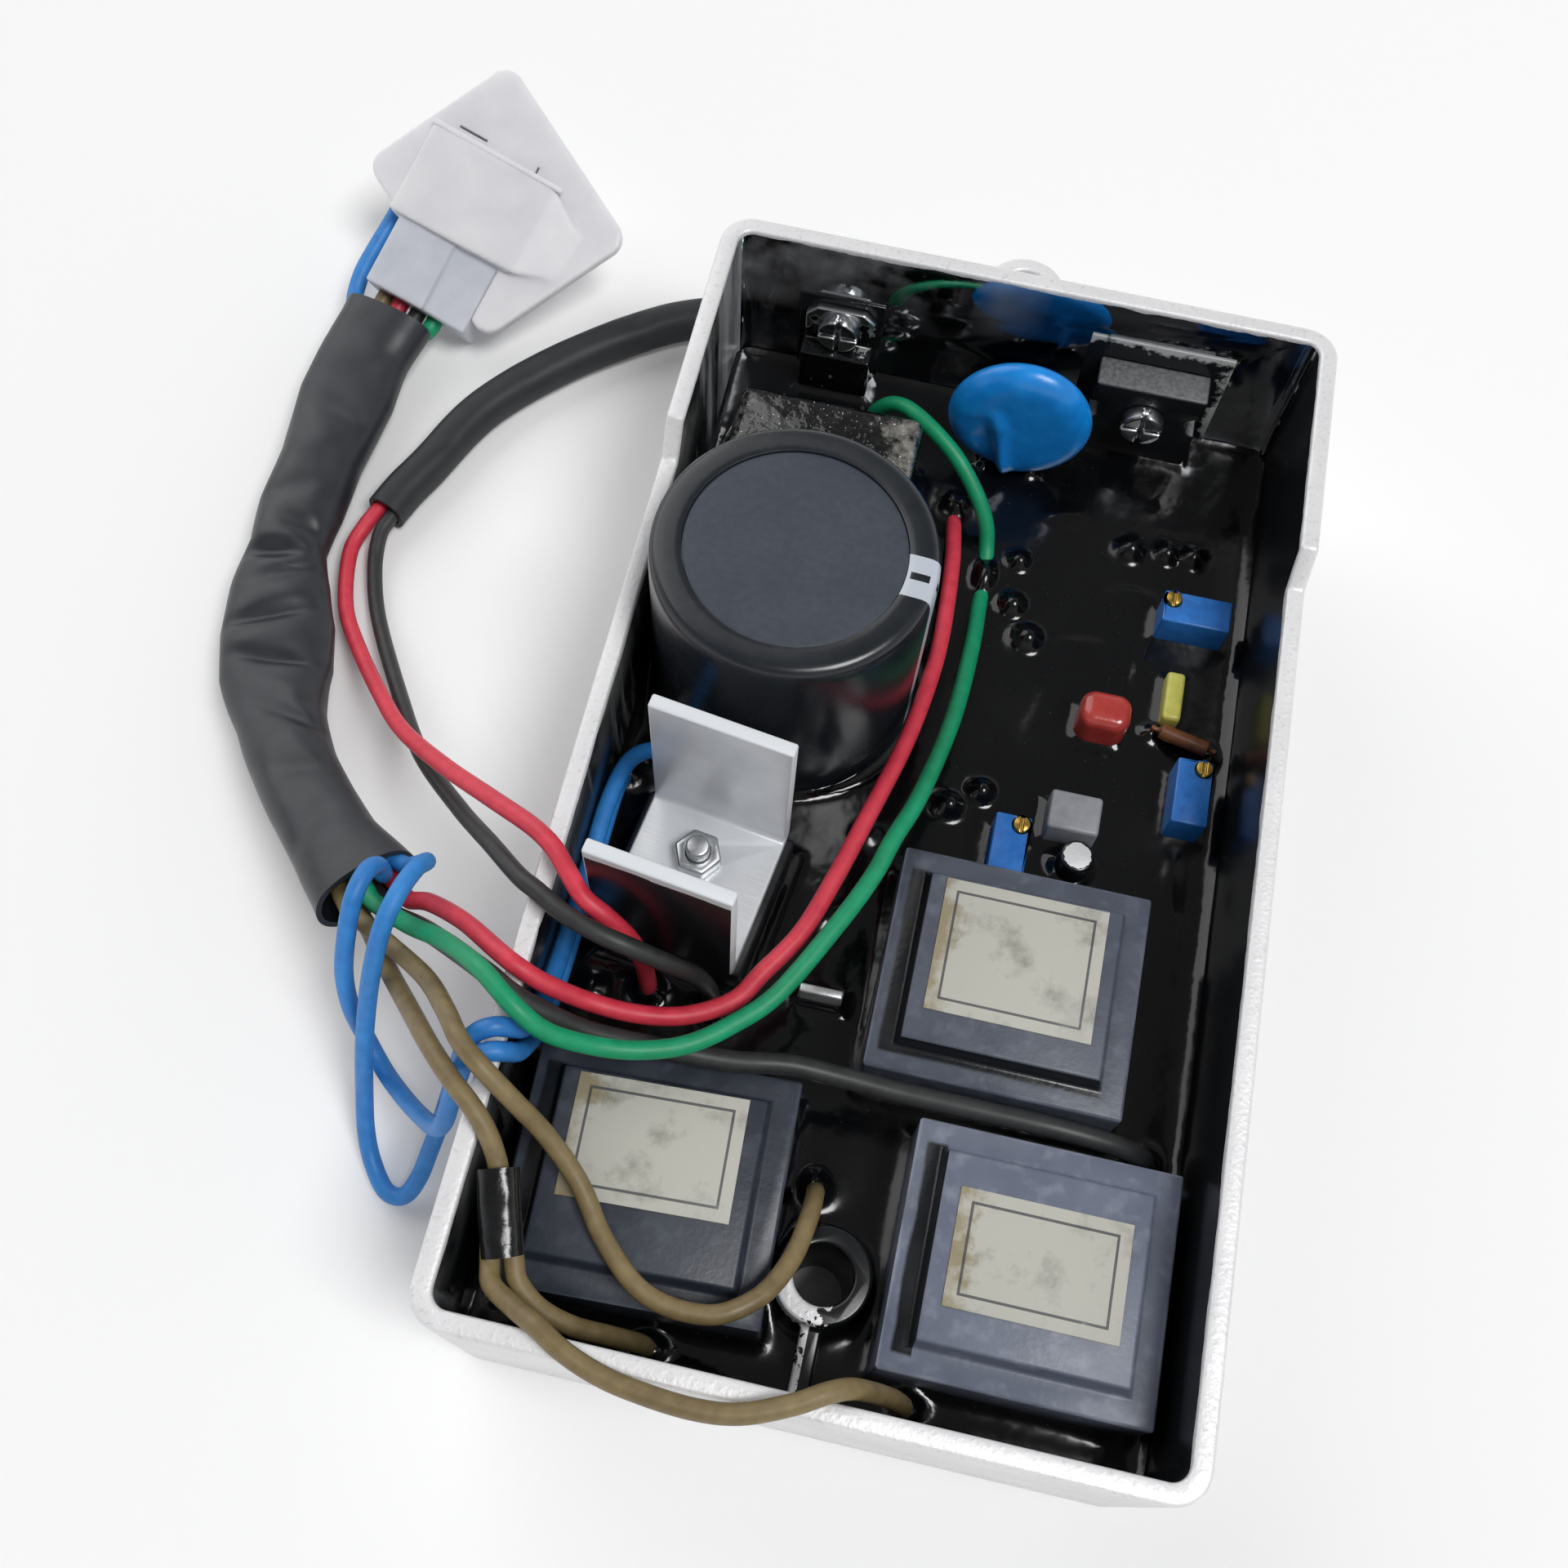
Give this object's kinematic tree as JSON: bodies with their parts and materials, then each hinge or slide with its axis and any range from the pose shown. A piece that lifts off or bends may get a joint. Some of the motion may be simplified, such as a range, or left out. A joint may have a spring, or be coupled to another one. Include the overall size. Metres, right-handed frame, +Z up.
{
  "type": "automatic voltage regulator",
  "caption": "Potted automatic voltage regulator: open cast tray with resin, transformers, capacitor, heat sink and trimmers, with sleeved leads ending in a white plug.",
  "frame": {"origin": "centre of the tray's plan on its underside", "axes": "+Y along the tray to the tall far wall with the ear, +Z up out of the open tray, +X right"},
  "size_m": [0.1486, 0.1857, 0.0472],
  "materials": {
    "cast_aluminium": "satin cast skin",
    "resin": "glossy potting resin",
    "board": "solder mask",
    "steel": "zinc plated",
    "can_aluminium": "drawn",
    "shrink_sleeve": "shrunk sleeve",
    "end_disc": "fibre disc",
    "black_epoxy": "moulded epoxy",
    "sheet_aluminium": "rolled sheet",
    "coated_block": "resin coated",
    "pad": "insulating pad",
    "varistor_blue": "dipped",
    "red_dip": "dipped",
    "yellow_dip": "moulded",
    "brown_body": "moulded",
    "grey_box": "moulded",
    "trimmer_blue": "moulded",
    "brass": "turned",
    "case_plastic": "moulded",
    "core_steel": "laminated",
    "copper": "enamelled wire",
    "label": "plain label",
    "red_pvc": "insulation",
    "green_pvc": "insulation",
    "black_pvc": "insulation",
    "blue_pvc": "insulation",
    "brown_pvc": "insulation",
    "sleeve_black": "sleeving",
    "nylon": "milky nylon"
  },
  "bodies": {
    "regulator": {"case": "cast_aluminium", "potting": "resin", "circuit_board": "board", "board_screws": "steel", "capacitor_can": "can_aluminium", "capacitor_sleeve": "shrink_sleeve", "capacitor_end_disc": "end_disc", "bridge_rectifier": "black_epoxy", "heat_sink": "sheet_aluminium", "heat_sink_screw": "steel", "heat_sink_nut": "steel", "film_capacitor": "coated_block", "small_transistor": "black_epoxy", "power_transistor": "black_epoxy", "insulating_pads": "pad", "wall_screws": "steel", "varistor": "varistor_blue", "red_film_capacitor": "red_dip", "yellow_capacitor": "yellow_dip", "axial_diode": "brown_body", "grey_box_capacitor": "grey_box", "small_electrolytic": "shrink_sleeve", "coated_components": "resin", "solder_tab": "steel", "trimmer_body_a": "trimmer_blue", "trimmer_body_b": "trimmer_blue", "trimmer_body_c": "trimmer_blue", "transformer_case_1": "case_plastic", "transformer_case_2": "case_plastic", "transformer_case_3": "case_plastic", "transformer_cores": "core_steel", "transformer_coils": "copper", "transformer_label_1": "label", "transformer_label_2": "label", "transformer_label_3": "label", "red_main_wire": "red_pvc", "green_wire": "green_pvc", "black_main_wire": "black_pvc", "red_aux_wire": "red_pvc", "black_aux_wire": "black_pvc", "blue_wire_a": "blue_pvc", "blue_wire_b": "blue_pvc", "brown_wire_a": "brown_pvc", "brown_wire_c": "brown_pvc", "brown_wire_d": "brown_pvc", "brown_wire_e": "brown_pvc", "brown_joint_sleeve": "sleeve_black", "main_sleeve": "sleeve_black", "thin_sleeve": "sleeve_black", "plug_wires": "blue_pvc", "plug_housing": "nylon", "plug_hood": "nylon", "small_plug": "nylon"},
    "adjuster_a": {"trimmer_screw_a": "brass"},
    "adjuster_b": {"trimmer_screw_b": "brass"},
    "adjuster_c": {"trimmer_screw_c": "brass"}
  },
  "joints": [
    {"name": "adjust_a", "type": "hinge", "parent": "regulator", "child": "adjuster_a", "pos_m": [0.0292, 0.0411, 0.0186], "axis": [0, 0, 1], "continuous": true},
    {"name": "adjust_b", "type": "hinge", "parent": "regulator", "child": "adjuster_b", "pos_m": [0.0363, 0.0159, 0.0186], "axis": [0, 0, 1], "continuous": true},
    {"name": "adjust_c", "type": "hinge", "parent": "regulator", "child": "adjuster_c", "pos_m": [0.0137, 0.00235, 0.0186], "axis": [0, 0, 1], "continuous": true}
  ]
}
